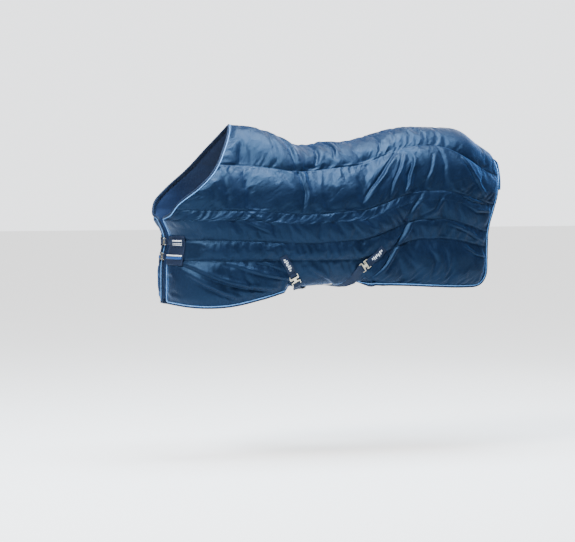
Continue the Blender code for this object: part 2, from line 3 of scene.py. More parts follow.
import bpy
import numpy as np
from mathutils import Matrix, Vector


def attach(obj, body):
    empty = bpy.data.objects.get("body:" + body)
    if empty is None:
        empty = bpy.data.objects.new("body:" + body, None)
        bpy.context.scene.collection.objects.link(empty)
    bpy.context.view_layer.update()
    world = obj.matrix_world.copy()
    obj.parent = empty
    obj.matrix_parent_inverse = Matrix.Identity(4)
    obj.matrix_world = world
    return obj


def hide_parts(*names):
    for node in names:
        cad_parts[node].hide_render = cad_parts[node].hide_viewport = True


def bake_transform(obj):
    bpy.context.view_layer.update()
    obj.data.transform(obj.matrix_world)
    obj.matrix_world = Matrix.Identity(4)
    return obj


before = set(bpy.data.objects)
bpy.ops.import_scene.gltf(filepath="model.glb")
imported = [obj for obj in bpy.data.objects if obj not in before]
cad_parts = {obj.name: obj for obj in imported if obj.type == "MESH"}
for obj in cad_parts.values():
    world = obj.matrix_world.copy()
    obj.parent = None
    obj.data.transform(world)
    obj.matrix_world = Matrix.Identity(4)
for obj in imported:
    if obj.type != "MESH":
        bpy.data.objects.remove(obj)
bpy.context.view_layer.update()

# The rug hangs in the shape of the horse, which faces -X. The near side is toward -Y.
rug = dict(
    back=1.400, drop=0.900, halfWidth=0.335, chestReach=0.335, chestGap=0.070, hinge=0.200,
    bend=(0.070, 0.050),  # the cloth bends from behind the hinge to ahead of it
    thickness=0.0134, puff=0.0070, trim=0.0150, binding=0.0085, sewnIn=0.0012,
    quiltLines=(0.22, 0.46, 0.62, 0.73),
    lineRuns=((0.200, 0.030, 0.095, 0.150), (0.420, 0.020, 0.090, 0.080),
              (0.565, 0.017, 0.094, 0.085), (0.663, 0.000, 0.098, 0.060)),
)
sides = (("near", 1.0, "flap_near"), ("off", -1.0, "flap_off"))
lineEdges = (0.0,) + rug["quiltLines"] + (1.0,)


# the form of the horse, as in the part's source
def ramp(x, start, end):
    t = np.clip((np.asarray(x, float) - start) / (end - start), 0.0, 1.0)
    return t * t * (3.0 - 2.0 * t)


def bump(x, centre, width):
    return np.exp(-(((np.asarray(x, float) - centre) / width) ** 2))


def smoothCurve(points, xScale, yScale):
    xs = np.array([p[0] for p in points]) * xScale
    ys = np.array([p[1] for p in points]) * yScale
    slopes = np.gradient(ys, xs)

    def curve(x):
        x = np.asarray(x, float)
        k = np.clip(np.searchsorted(xs, x) - 1, 0, len(xs) - 2)
        h = xs[k + 1] - xs[k]
        t = np.clip((x - xs[k]) / h, 0.0, 1.0)
        start = (2 * t**3 - 3 * t**2 + 1) * ys[k] + (t**3 - 2 * t**2 + t) * h * slopes[k]
        return start + (3 * t**2 - 2 * t**3) * ys[k + 1] + (t**3 - t**2) * h * slopes[k + 1]

    return curve


topline = smoothCurve(
    [(-0.29, 0.31), (-0.14, 0.12), (0.0, 0.0), (0.08, -0.012), (0.186, -0.070),
     (0.222, -0.098), (0.29, -0.114), (0.353, -0.098), (0.436, -0.092), (0.519, -0.068),
     (0.647, -0.022), (0.76, -0.017), (0.858, -0.032), (0.908, -0.086), (0.963, -0.136),
     (1.01, -0.190)], rug["back"], rug["drop"])
barrelWidth = smoothCurve(
    [(-0.29, 0.81), (-0.07, 0.85), (0.07, 0.90), (0.21, 0.97), (0.36, 1.0), (0.50, 0.97),
     (0.61, 0.91), (0.71, 0.895), (0.82, 0.85), (0.93, 0.70), (1.01, 0.51)],
    rug["back"], rug["halfWidth"])
hemHeight = smoothCurve(
    [(-0.26, -0.950), (-0.186, -0.972), (-0.064, -0.972), (0.057, -0.932), (0.14, -0.898),
     (0.214, -0.876), (0.357, -0.860), (0.49, -0.864), (0.64, -0.876), (0.79, -0.886),
     (0.93, -0.886)], rug["back"], rug["drop"])
neckCurve = smoothCurve(
    [(-0.522, -0.251), (-0.444, -0.234), (-0.361, -0.175), (-0.261, -0.107),
     (-0.144, -0.0536), (0.0, 0.0), (0.2, 0.02)], rug["drop"], rug["back"])


def channelOf(v):
    k = min(int(np.searchsorted(lineEdges, v, side="right")) - 1, len(lineEdges) - 2)
    return k, (v - lineEdges[k]) / (lineEdges[k + 1] - lineEdges[k])


def rowHeight(x, v):
    k, t = channelOf(v)
    heights = [topline(x)]
    for depth, dip, rise, fall in rug["lineRuns"]:
        s = x / rug["back"]
        share = -depth - dip * bump(s, 0.21, 0.14)
        share = share + rise * ramp(s, 0.39, 0.66) - fall * ramp(s, 0.71, 1.0)
        heights.append(share * rug["drop"] / 0.9)
    heights.append(hemHeight(x))
    if k == 0:
        t = t**1.7
    return heights[k] * (1.0 - t) + heights[k + 1] * t


def chestFront(z):
    d = z / rug["drop"]
    bulge = 0.022 * bump(d, -0.50, 0.055) - 0.020 * bump(d, -0.644, 0.078)
    return -rug["chestReach"] - bulge - 0.9 * np.clip(z + 0.52 * rug["drop"], 0.0, rug["drop"])


def sideWidth(x, z):
    s = x / rug["back"]
    below = np.maximum(topline(x) - z, 1e-6) / rug["drop"]
    shoulder = 0.51 - 0.067 * ramp(s, 0.0, 0.21) - 0.078 * ramp(s, 0.43, 0.68)
    a = np.clip(1.0 - below / shoulder, 0.0, 1.0)
    full = ramp(s, 0.0, 0.25)  # narrow at the neck, round over the barrel
    arch = (1.0 - a ** (1.5 + 0.5 * full)) ** (1.0 / (1.2 + 0.8 * full))
    low = np.clip((below - shoulder) / 0.39, 0.0, 2.0)
    tuck = ramp(s, 0.07, 0.21) * (1.0 - ramp(s, 0.36, 0.51))
    width = barrelWidth(x) * (1.0 - (0.05 + 0.10 * tuck) * low**2)
    turn = 0.06 * rug["back"]
    t = np.clip((turn - x) / (turn - chestFront(z)), 0.0, 1.0)
    return width * arch * (1.0 - t**2.8) ** (1.0 / 2.8)


def rearEdge(z, hemZ):
    corner = 0.078 * rug["drop"]
    up = np.clip(corner - (z - hemZ), 0.0, corner)
    x = rug["back"] * (0.919 + 0.084 * (1.0 - ramp(-z / rug["drop"], 0.22, 0.64)))
    return x - (corner - np.sqrt(corner**2 - up**2))


def sidePoint(x, v):
    x = np.asarray(x, float)
    z = rowHeight(x, v)
    y = sideWidth(x, z) if v > 0.0 else 0.0 * x
    last = lineEdges[-2]
    if v > last:  # the belly straps pull the hem in under the horse
        t = (v - last) / (1.0 - last)
        zTop = rowHeight(x, last)
        yTop = sideWidth(x, zTop)
        slope = (sideWidth(x, zTop + 0.01) - yTop) / 0.01
        zLow = hemHeight(x)
        yKnee = yTop + slope * (zLow - 0.02 - zTop)
        yBend = (1 - t) ** 2 * yTop + 2 * t * (1 - t) * yKnee + t * t * 0.39 * rug["halfWidth"]
        zBend = (1 - t) ** 2 * zTop + 2 * t * (1 - t) * (zLow - 0.02) + t * t * zLow
        s = x / rug["back"]
        m = ramp(s, 0.135, 0.207) * (1.0 - ramp(s, 0.371, 0.457))
        y = y * (1 - m) + yBend * m
        z = z * (1 - m) + zBend * m
    return np.stack([x, -y - 0.00015, z], -1)


def sideNormal(x, v):
    x = np.asarray(x, float)
    dx = sidePoint(x + 0.004, v) - sidePoint(x - 0.004, v)
    dv = sidePoint(x, min(v + 0.02, 1.0)) - sidePoint(x, max(v - 0.02, 0.0))
    n = np.cross(dv, dx)
    if v == 0.0:
        n[..., 1] = 0.0
    return n / np.linalg.norm(n, axis=-1, keepdims=True)


def onSurface(x, v, lift=0.0):
    n = sideNormal(np.array([x]), v)[0]
    return sidePoint(np.array([x]), v)[0] + n * lift, n


def unit(a):
    a = np.asarray(a, float)
    return a / np.maximum(np.linalg.norm(a, axis=-1, keepdims=True), 1e-12)


def runAlong(points):
    return np.concatenate([[0.0], np.cumsum(np.linalg.norm(np.diff(points, axis=0), axis=1))])


def gridNormals(points):
    return unit(np.cross(np.gradient(points, axis=0), np.gradient(points, axis=1)))


spans = {}  # rows already measured


def rowSpan(v):
    if v in spans:
        return spans[v]
    start = -rug["chestReach"] - 0.05
    xs = np.concatenate([start + (0.10 - start) * (1 - np.cos(np.linspace(0, pi / 2, 1200))),
                         np.linspace(0.101, rug["back"] * 1.02, 1200)])
    p = sidePoint(xs, v)
    z = p[:, 2]
    neckX = neckCurve(np.clip(z, -0.522 * rug["drop"], 0.2 * rug["drop"]))
    spare = np.where(z > -0.522 * rug["drop"], xs - neckX, 1.0)
    spare = np.minimum(rearEdge(z, hemHeight(xs)) - xs, spare)
    if v > 0.3:
        spare = np.minimum(spare, -p[:, 1] - rug["chestGap"] / 2)
    inside = np.flatnonzero(spare >= 0)
    first, last = inside[0], inside[-1]
    xs = xs[max(first - 1, 0):last + 2].copy()
    spare = spare[max(first - 1, 0):last + 2]
    if first > 0:
        xs[0] += (xs[1] - xs[0]) * -spare[0] / (spare[1] - spare[0])
    if spare[-1] < 0:
        xs[-1] -= (xs[-1] - xs[-2]) * spare[-1] / (spare[-1] - spare[-2])
    spans[v] = xs, runAlong(sidePoint(xs, v))
    return spans[v]


def clothGrid(channelRows, columns):
    inset = rug["trim"] - rug["sewnIn"]
    rows = []
    for k, count in enumerate(channelRows):
        rows += list(np.linspace(lineEdges[k], lineEdges[k + 1], count, endpoint=False))
    rows.append(1.0)
    lines, spread = [], []
    for v in rows:
        xs, run = rowSpan(v)
        stops = np.linspace(inset, run[-1] - inset, columns + 1)
        lines.append(sidePoint(np.interp(stops, run, xs), v))
        spread.append(stops)
    points = np.array(lines)
    normals = gridNormals(points)
    normals[0, :, 1] = 0.0
    down = np.concatenate([np.zeros((1, columns + 1)),
                           np.cumsum(np.linalg.norm(np.diff(points, axis=0), axis=2), axis=0)])
    return dict(v=np.array(rows), points=points, normals=unit(normals), run=np.array(spread),
                down=down)


# loose folds and puckers
def softNoise(a, b, seed):
    table = np.random.default_rng(seed).uniform(-1, 1, (97, 97))
    ia, ib = np.floor(a).astype(int), np.floor(b).astype(int)
    fa, fb = a - ia, b - ib
    fa, fb = fa * fa * (3 - 2 * fa), fb * fb * (3 - 2 * fb)
    top = table[ia % 97, ib % 97] * (1 - fb) + table[ia % 97, (ib + 1) % 97] * fb
    low = table[(ia + 1) % 97, ib % 97] * (1 - fb) + table[(ia + 1) % 97, (ib + 1) % 97] * fb
    return top * (1 - fa) + low * fa


def fold(x, down, path, width, height, valley):
    # a rounded ridge along a path of (x, share down the side), with a crease beside it
    nearest = np.full(x.shape, 9.0)
    across = np.zeros(x.shape)
    along = np.zeros(x.shape)
    ends = np.array([(px, pv * 0.98) for px, pv in path])
    lengths = np.linalg.norm(np.diff(ends, axis=0), axis=1)
    done = 0.0
    for a, step, length in zip(ends, np.diff(ends, axis=0), lengths):
        t = np.clip(((x - a[0]) * step[0] + (down - a[1]) * step[1]) / length**2, 0, 1)
        ex, ey = x - a[0] - t * step[0], down - a[1] - t * step[1]
        d = np.hypot(ex, ey)
        closer = d < nearest
        nearest = np.where(closer, d, nearest)
        across = np.where(closer, np.sign(step[0] * ey - step[1] * ex) * d, across)
        along = np.where(closer, (done + t * length) / lengths.sum(), along)
        done += length
    taper = np.sin(pi * np.clip(along, 0, 1)) ** 0.6
    s = across / width
    ridge = np.exp(-(s**2)) - valley * np.exp(-(((s - 1.25) / 0.55) ** 2))
    return height * taper * ridge


quiltFolds = [  # path, half width, height, depth of the crease beside it
    (((0.26, 0.02), (0.28, 0.12), (0.30, 0.25), (0.30, 0.47)), 0.022, 0.0075, 0.9),
    (((0.20, 0.05), (0.21, 0.16), (0.24, 0.30)), 0.030, 0.0050, 0.5),
    (((0.40, 0.02), (0.42, 0.12), (0.40, 0.22)), 0.024, 0.0048, 0.6),
    (((0.48, 0.02), (0.50, 0.10), (0.49, 0.18)), 0.018, 0.0045, 0.8),
    (((0.82, 0.22), (0.72, 0.32), (0.57, 0.43)), 0.017, 0.0085, 1.0),
    (((0.84, 0.25), (0.78, 0.36), (0.73, 0.45)), 0.015, 0.0070, 0.9),
    (((0.88, 0.28), (0.84, 0.38), (0.81, 0.46)), 0.014, 0.0060, 0.9),
    (((0.98, 0.27), (0.96, 0.36), (0.93, 0.45)), 0.018, 0.0055, 0.8),
    (((1.14, 0.24), (1.20, 0.33), (1.27, 0.42)), 0.018, 0.0060, 0.8),
    (((1.03, 0.24), (1.06, 0.33), (1.05, 0.42)), 0.024, 0.0040, 0.5),
    (((0.92, 0.46), (0.85, 0.58), (0.78, 0.74), (0.62, 0.97)), 0.020, 0.0085, 0.9),
    (((1.02, 0.50), (0.98, 0.57), (0.90, 0.62)), 0.018, 0.0045, 0.7),
    (((1.06, 0.44), (1.18, 0.475), (1.33, 0.455)), 0.014, 0.0065, 1.0),
    (((1.12, 0.50), (1.20, 0.525), (1.31, 0.50)), 0.014, 0.0050, 0.9),
    (((1.12, 0.75), (1.20, 0.79), (1.28, 0.80)), 0.013, 0.0050, 0.9),
    (((1.05, 0.64), (1.16, 0.66), (1.28, 0.70)), 0.016, 0.0045, 0.8),
    (((-0.31, 0.72), (-0.14, 0.83), (0.16, 0.96)), 0.022, 0.0090, 0.9),
    (((-0.27, 0.80), (-0.16, 0.88), (-0.02, 0.97)), 0.020, 0.0075, 0.9),
    (((-0.12, 0.72), (0.04, 0.80), (0.23, 0.90)), 0.020, 0.0060, 0.8),
    (((-0.02, 0.71), (0.10, 0.75), (0.22, 0.83)), 0.016, 0.0045, 0.8),
    (((-0.18, 0.28), (-0.14, 0.36), (-0.15, 0.45)), 0.024, 0.0050, 0.6),
    (((-0.09, 0.24), (-0.07, 0.34), (-0.09, 0.44)), 0.022, 0.0042, 0.6),
    (((-0.02, 0.44), (0.05, 0.49), (0.15, 0.52)), 0.013, 0.0035, 0.9),
    (((-0.05, 0.49), (0.03, 0.53), (0.13, 0.57)), 0.013, 0.0032, 0.9),
    (((0.36, 0.40), (0.40, 0.50), (0.38, 0.60)), 0.030, 0.0040, 0.5),
    (((0.52, 0.47), (0.56, 0.56), (0.54, 0.62)), 0.026, 0.0036, 0.5),
    (((0.30, 0.74), (0.42, 0.84), (0.50, 0.96)), 0.024, 0.0050, 0.7),
    (((0.95, 0.76), (1.00, 0.86), (0.98, 0.96)), 0.026, 0.0050, 0.6),
    (((0.92, 0.40), (0.84, 0.56), (0.75, 0.76), (0.62, 0.99)), 0.050, -0.0080, 0.0),  # hollow of the flank
]
pressedAreas = (  # patches lie flat here: x, share down, reach along, reach down
    (-0.29, 0.655, 0.085, 0.110), (0.200, 0.767, 0.050, 0.090), (0.652, 0.735, 0.062, 0.060),
)


relief = dict(broad=0.0032, soft=0.0018, crisp=0.0023, pucker=0.0022, edgePucker=0.0016,
              foldWidth=0.78, foldHeight=1.15, groove=0.0030, grooveWidth=0.0042, loft=1.25)


def clothRelief(grid, seed, amount=1.0):
    points, v, run, down = grid["points"], grid["v"], grid["run"], grid["down"]
    x = points[..., 0]
    shift = 0.012 * softNoise(down / 0.09, run / 0.13, seed)
    share = np.repeat(v[:, None], x.shape[1], 1)
    slack = np.zeros(x.shape)
    swap = 0.0 if seed < 50 else 0.035  # the off side creases elsewhere
    for k, (path, width, height, valley) in enumerate(quiltFolds):
        moved = [(px + swap * sin(3.1 * k), pv) for px, pv in path]
        slack += fold(x + shift, share * 0.98 + 0.5 * shift, moved, relief["foldWidth"] * width,
                      relief["foldHeight"] * height, valley)
    # broad slack in the cloth, then crisp creases
    slack += relief["broad"] * softNoise(run / 0.15, down / 0.30, seed + 1)
    slack += relief["soft"] * softNoise((run + 0.6 * down) / 0.062, (down - 0.4 * run) / 0.115, seed + 2)
    cloud = softNoise((run - 0.5 * down) / 0.036, (down + 0.4 * run) / 0.085, seed + 3)
    patchy = ramp(softNoise(run / 0.21, down / 0.17, seed + 4), -0.3, 0.7)
    slack += relief["crisp"] * (1 - 2 * np.abs(cloud)) * patchy
    # short puckers run out of each row of quilting
    nearLine = np.full(x.shape, 1.0)
    for k, edge in enumerate(lineEdges):
        away = down - down[int(np.argmin(np.abs(v - edge)))]
        dist = np.abs(away)
        sewn = 0 < k < len(lineEdges) - 1
        if sewn:
            nearLine = np.minimum(nearLine, dist)
        key = np.where(away > 0, 3.0, 11.0) + k * 17
        pucker = softNoise(run / 0.021 + 0.4 * away / 0.02, key + dist / 0.09, seed + 7)
        pucker += 0.6 * softNoise(run / 0.011, key + 5 + dist / 0.05, seed + 8)
        uneven = 0.55 + 0.45 * softNoise(run / 0.16, key, seed + 9)
        strength = relief["pucker" if sewn else "edgePucker"]
        slack += strength * uneven * pucker * np.exp(-dist / 0.030) * (1 - np.exp(-dist / 0.007))
    loft = np.zeros(x.shape)
    for row, height in enumerate(v):
        loft[row] = 1 - abs(2 * channelOf(height)[1] - 1) ** 2.1
    # the edges are sewn down flat
    fromEdge = np.minimum(run - run[:, :1], run[:, -1:] - run)
    fromEdge = np.minimum(fromEdge, down[-1:] - down + 0.004)
    edgeHold = 0.10 + 0.90 * ramp(fromEdge, 0.0, 0.032)
    slack *= edgeHold * ramp(down, 0.0, 0.05)
    loft *= 0.15 + 0.85 * ramp(fromEdge, 0.0, 0.040)
    slack *= ramp(nearLine, -0.004, 0.020)
    body = rug["puff"] * (relief["loft"] * loft - 1.0) + amount * slack
    body -= relief["groove"] * np.exp(-((nearLine / relief["grooveWidth"]) ** 2))
    for px, pv, reach, reachDown in pressedAreas:
        m = np.exp(-((((x - px) / reach) ** 2 + ((v[:, None] - pv) / reachDown) ** 2) ** 2))
        body = body * (1 - m) + np.minimum(body, -0.0012) * m
    return body


# materials
def fill(tree, n, values):
    for key, value in values.items():
        if isinstance(value, bpy.types.NodeSocket):
            tree.links.new(value, n.inputs[key])
        else:
            n.inputs[key].default_value = value
    return n.outputs


def node(tree, kind, values, **props):
    n = tree.nodes.new(kind)
    for key, value in props.items():
        setattr(n, key, value)
    return fill(tree, n, values)


def sums(tree, operation, a, b=0.0):
    return node(tree, "ShaderNodeMath", {0: a, 1: b}, operation=operation)[0]


def noise(tree, place, scale, detail, **more):
    values = {"Vector": place, "Scale": scale, "Detail": detail, **more}
    return node(tree, "ShaderNodeTexNoise", values)[0]


def mapped(tree, value, low, high, **more):
    values = {"Value": value, "To Min": low, "To Max": high, **more}
    return node(tree, "ShaderNodeMapRange", values)[0]


def twoColors(tree, share, first, second):
    return node(tree, "ShaderNodeMix", {0: share, 6: first, 7: second}, data_type="RGBA")[2]


def bumped(tree, height, distance, strength=1.0, **more):
    values = {"Height": height, "Strength": strength, "Distance": distance, **more}
    return node(tree, "ShaderNodeBump", values)[0]


def newGroup(name, inputs, outputs):
    tree = bpy.data.node_groups.new(name, "ShaderNodeTree")
    for label, kind, value in inputs:
        kind = "NodeSocket" + kind
        socket = tree.interface.new_socket(name=label, in_out="INPUT", socket_type=kind)
        if value is not None:
            socket.default_value = value
    for label, kind in outputs:
        tree.interface.new_socket(name=label, in_out="OUTPUT", socket_type="NodeSocket" + kind)
    return tree, tree.nodes.new("NodeGroupInput").outputs, tree.nodes.new("NodeGroupOutput").inputs


def weaveGroup():
    tree, into, out = newGroup(
        "plainWeave", [("Place", "Vector", None), ("Thread", "Float", 0.0008), ("Slub", "Float", 0.3)],
        [("Height", "Float"), ("Shade", "Float")])
    split = node(tree, "ShaderNodeSeparateXYZ", {0: into["Place"]})
    turns = sums(tree, "DIVIDE", pi, into["Thread"])
    warp = sums(tree, "SINE", sums(tree, "MULTIPLY", split[0], turns))
    weft = sums(tree, "SINE", sums(tree, "MULTIPLY", split[1], turns))
    half = sums(tree, "MULTIPLY", sums(tree, "MULTIPLY", warp, weft), 0.5)
    crossing = sums(tree, "ADD", half, 0.5)
    uneven = sums(tree, "MULTIPLY", noise(tree, into["Place"], 420.0, 2.0), into["Slub"])
    tree.links.new(sums(tree, "ADD", crossing, uneven), out["Height"])
    even = sums(tree, "SUBTRACT", 1.0, uneven)
    tree.links.new(sums(tree, "MULTIPLY", crossing, even), out["Shade"])
    return tree


def toneGroup():
    tree, into, out = newGroup(
        "clothTone", [("Place", "Vector", None), ("Deep", "Color", (0, 0, 0, 1)),
                      ("Bright", "Color", (1, 1, 1, 1)), ("Patch Size", "Float", 0.12),
                      ("Shade", "Float", 0.5)], [("Color", "Color"), ("Wear", "Float")])
    scale = sums(tree, "DIVIDE", 1.0, into["Patch Size"])
    broad = noise(tree, into["Place"], scale, 3.0, Roughness=0.55)
    fine = noise(tree, into["Place"], sums(tree, "MULTIPLY", scale, 14.0), 2.0)
    mixed = sums(tree, "ADD", sums(tree, "MULTIPLY", broad, 0.6), sums(tree, "MULTIPLY", fine, 0.4))
    spread = mapped(tree, mixed, 0.0, 1.0, **{"From Min": 0.35, "From Max": 0.65})
    shade = sums(tree, "MULTIPLY", into["Shade"], 0.3)
    toned = sums(tree, "ADD", sums(tree, "MULTIPLY", spread, 0.7), shade)
    tree.links.new(twoColors(tree, toned, into["Deep"], into["Bright"]), out["Color"])
    tree.links.new(spread, out["Wear"])
    return tree


def creaseGroup():
    tree, into, out = newGroup("fineCreases", [("Place", "Vector", None), ("Size", "Float", 0.02)],
                               [("Height", "Float")])
    turned = {"Vector": into["Place"], "Rotation": (0, 0, 0.5), "Scale": (1.0, 0.45, 1.0)}
    cloud = noise(tree, node(tree, "ShaderNodeMapping", turned)[0],
                  sums(tree, "DIVIDE", 1.0, into["Size"]), 3.0, Distortion=0.6)
    ridge = sums(tree, "ABSOLUTE", sums(tree, "SUBTRACT", cloud, 0.5))
    tree.links.new(sums(tree, "SUBTRACT", 1.0, sums(tree, "MULTIPLY", ridge, 2.0)), out["Height"])
    return tree


groups = dict(weave=weaveGroup(), tone=toneGroup(), creases=creaseGroup())


def useGroup(tree, key, values):
    n = tree.nodes.new("ShaderNodeGroup")
    n.node_tree = groups[key]
    return fill(tree, n, values)


def emptyMaterial(name):
    m = bpy.data.materials.new(name)
    m.use_nodes = True
    tree = m.node_tree
    tree.nodes.clear()
    shader = tree.nodes.new("ShaderNodeBsdfPrincipled")
    tree.links.new(shader.outputs[0], tree.nodes.new("ShaderNodeOutputMaterial").inputs[0])
    return m, tree, shader


# every cloth starts from these and changes what it needs
plainCloth = dict(rough=(0.4, 0.55), sheen=0.1, sheenTint=(0.3, 0.55, 1.0), specular=0.35,
                  glossTint=(0.7, 0.85, 1.0), thread=0.0008, weaveDepth=0.00012,
                  creaseSize=0.03, creaseDepth=0.0, patch=0.12)


def clothMaterial(name, deep, bright, **changes):
    look = {**plainCloth, **changes}
    m, tree, shader = emptyMaterial(name)
    place = node(tree, "ShaderNodeUVMap", {}, uv_map="cloth")[0]
    weave = useGroup(tree, "weave", {"Place": place, "Thread": look["thread"], "Slub": 0.35})
    tone = useGroup(tree, "tone", {"Place": place, "Deep": (*deep, 1), "Bright": (*bright, 1),
                                   "Patch Size": look["patch"], "Shade": weave["Shade"]})
    crease = useGroup(tree, "creases", {"Place": place, "Size": look["creaseSize"]})
    low = bumped(tree, crease["Height"], look["creaseDepth"])
    fill(tree, shader, {
        "Base Color": tone["Color"], "Roughness": mapped(tree, tone["Wear"], *look["rough"]),
        "Normal": bumped(tree, weave["Height"], look["weaveDepth"], Normal=low),
        "Sheen Weight": look["sheen"], "Sheen Roughness": 0.35,
        "Sheen Tint": (*look["sheenTint"], 1), "Specular IOR Level": look["specular"],
        "Specular Tint": (*look["glossTint"], 1)})
    return m


def metalMaterial(name, color, worn):
    m, tree, shader = emptyMaterial(name)
    place = node(tree, "ShaderNodeTexCoord", {})["Object"]
    haze = noise(tree, place, 90.0, 4.0)
    stretched = {"Vector": place, "Scale": (900.0, 90.0, 240.0)}
    lines = noise(tree, node(tree, "ShaderNodeMapping", stretched)[0], 1.0, 3.0)
    fill(tree, shader, {"Base Color": twoColors(tree, haze, (*color, 1), (*worn, 1)),
                        "Roughness": mapped(tree, haze, 0.20, 0.42),
                        "Normal": bumped(tree, lines, 0.00005, 0.5), "Metallic": 1.0})
    return m


finishes = dict(
    shell=clothMaterial("shellCloth", (0.0019, 0.0046, 0.0140), (0.0044, 0.0100, 0.029),
                        rough=(0.37, 0.50), sheen=0.42, sheenTint=(0.10, 0.38, 1.0), specular=0.42,
                        glossTint=(0.25, 0.54, 1.0), creaseSize=0.034, creaseDepth=0.0016),
    lining=clothMaterial("liningCloth", (0.008, 0.016, 0.050), (0.016, 0.032, 0.085), rough=(0.45, 0.6),
                         sheenTint=(0.2, 0.45, 1.0), creaseSize=0.028, creaseDepth=0.0009),
    binding=clothMaterial("bindingTape", (0.002, 0.006, 0.022), (0.006, 0.015, 0.046),
                          rough=(0.5, 0.7), sheen=0.04, thread=0.0016, weaveDepth=0.00025,
                          creaseSize=0.012, creaseDepth=0.0005, patch=0.05),
    piping=clothMaterial("pipingCord", (0.09, 0.27, 0.62), (0.18, 0.42, 0.84), thread=0.0012,
                         weaveDepth=0.0002, creaseSize=0.010, creaseDepth=0.0003, patch=0.03),
    webbing=clothMaterial("navyWebbing", (0.003, 0.006, 0.020), (0.010, 0.019, 0.052),
                          rough=(0.5, 0.7), sheen=0.04, thread=0.0022, weaveDepth=0.0004, patch=0.03),
    patch=clothMaterial("patchCloth", (0.002, 0.005, 0.018), (0.005, 0.012, 0.040),
                        rough=(0.55, 0.7), sheen=0.03, thread=0.0014, weaveDepth=0.0002,
                        creaseSize=0.02, creaseDepth=0.0003, patch=0.04),
    label=clothMaterial("labelSatin", (0.62, 0.66, 0.72), (0.85, 0.87, 0.90), rough=(0.35, 0.5),
                        thread=0.0007, weaveDepth=0.0001, patch=0.02),
    blueBand=clothMaterial("blueBand", (0.010, 0.045, 0.17), (0.020, 0.075, 0.26),
                           thread=0.0012, weaveDepth=0.0002, patch=0.02),
    thread=clothMaterial("navyThread", (0.010, 0.022, 0.065), (0.035, 0.065, 0.16), rough=(0.4, 0.5),
                         thread=0.0005, weaveDepth=0.0001, patch=0.01),
    brass=metalMaterial("brass", (0.82, 0.74, 0.57), (0.62, 0.54, 0.39)),
)
print("materials", len(finishes))


# the CAD fittings stay in view, in brass
for name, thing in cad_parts.items():
    for slot in thing.material_slots:
        slot.material = finishes["brass"]


def piece(name, verts, faces, uvs, finish):
    mesh = bpy.data.meshes.new(name)
    mesh.from_pydata([tuple(p) for p in verts], [], faces)
    layer = mesh.uv_layers.new(name="cloth")
    corners = np.fromiter((i for face in faces for i in face), int)
    layer.data.foreach_set("uv", np.asarray(uvs, float)[corners].ravel())
    mesh.materials.append(finishes[finish])
    mesh.shade_smooth()
    mesh.update()
    obj = bpy.data.objects.new(name, mesh)
    bpy.context.scene.collection.objects.link(obj)
    return obj


def gridFaces(rows, columns, flip):
    r, c = np.meshgrid(np.arange(rows - 1), np.arange(columns - 1), indexing="ij")
    a = (r * columns + c).ravel()
    quad = np.stack([a, a + 1, a + columns + 1, a + columns], 1)
    return (quad[:, ::-1] if flip else quad).tolist()


def closedFaces(rows, columns, outward):
    # an upper and a lower sheet on the same grid, joined round the rim
    count = (rows + 1) * (columns + 1)
    upper = gridFaces(rows + 1, columns + 1, outward)
    rim = [(0, c) for c in range(columns + 1)] + [(r, columns) for r in range(1, rows + 1)]
    rim += [(rows, c) for c in range(columns - 1, -1, -1)] + [(r, 0) for r in range(rows - 1, 0, -1)]
    ids = [r * (columns + 1) + c for r, c in rim]
    way = 1 if outward else -1
    return ([tuple(f) for f in upper] + [tuple(i + count for i in f[::-1]) for f in upper]
            + [(a, b, b + count, a + count)[::way] for a, b in zip(ids, ids[1:] + ids[:1])])


def mirror(points, way):
    return np.asarray(points) * np.array([1.0, way, 1.0])


def bendFront(obj):
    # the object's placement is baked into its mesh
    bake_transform(obj)


def sweep(name, path, across, normals, outline, finish):
    path, across, normals = np.asarray(path), np.asarray(across), np.asarray(normals)
    count = len(outline)
    a = np.array([p[0] for p in outline])
    h = np.array([p[1] for p in outline])
    verts = path[:, None] + across[:, None] * a[None, :, None] + normals[:, None] * h[None, :, None]
    along, ring = runAlong(path), runAlong(np.array(outline))
    uvs = np.stack(np.broadcast_arrays(along[:, None], ring[None, :]), -1).reshape(-1, 2)
    faces = []
    for i in range(len(path) - 1):
        for j in range(count):
            k = (j + 1) % count
            faces.append((i * count + j, i * count + k, (i + 1) * count + k, (i + 1) * count + j))
    last = (len(path) - 1) * count
    faces.append(tuple(range(count))[::-1])
    faces.append(tuple(range(last, last + count)))
    flat = verts.reshape(-1, 3)
    a, b, c = (flat[i] for i in faces[0][:3])
    if np.dot(np.cross(b - a, c - a), a - verts[0].mean(0)) < 0:
        faces = [f[::-1] for f in faces]  # the faces look outward
    return piece(name, flat, faces, uvs, finish)


def cordOutline(middle, width, height):
    return [(middle[0] + width * cos(a), middle[1] + height * sin(a))
            for a in np.linspace(0, 2 * pi, 9)[:-1]]


def roundedBand(near, far, low, high, radius, steps=3):
    outline = []
    corners = ((far - radius, high - radius), (near + radius, high - radius),
               (near + radius, low + radius), (far - radius, low + radius))
    for quarter, (a, h) in enumerate(corners):
        for step in range(steps):
            angle = (quarter + step / (steps - 1)) * pi / 2
            outline.append((a + radius * cos(angle), h + radius * sin(angle)))
    return outline


def resample(points, spacing, *others):
    points = np.asarray(points, float)
    run = runAlong(points)
    stops = np.linspace(0.0, run[-1], max(int(run[-1] / spacing), 2) + 1)
    given = [points, *[np.asarray(o, float) for o in others]]
    return [np.stack([np.interp(stops, run, g[:, k]) for k in range(3)], 1) for g in given]


def relax(values, times):
    values = np.array(values)
    for turn in range(times):
        values[1:-1] = 0.25 * values[:-2] + 0.5 * values[1:-1] + 0.25 * values[2:]
    return values


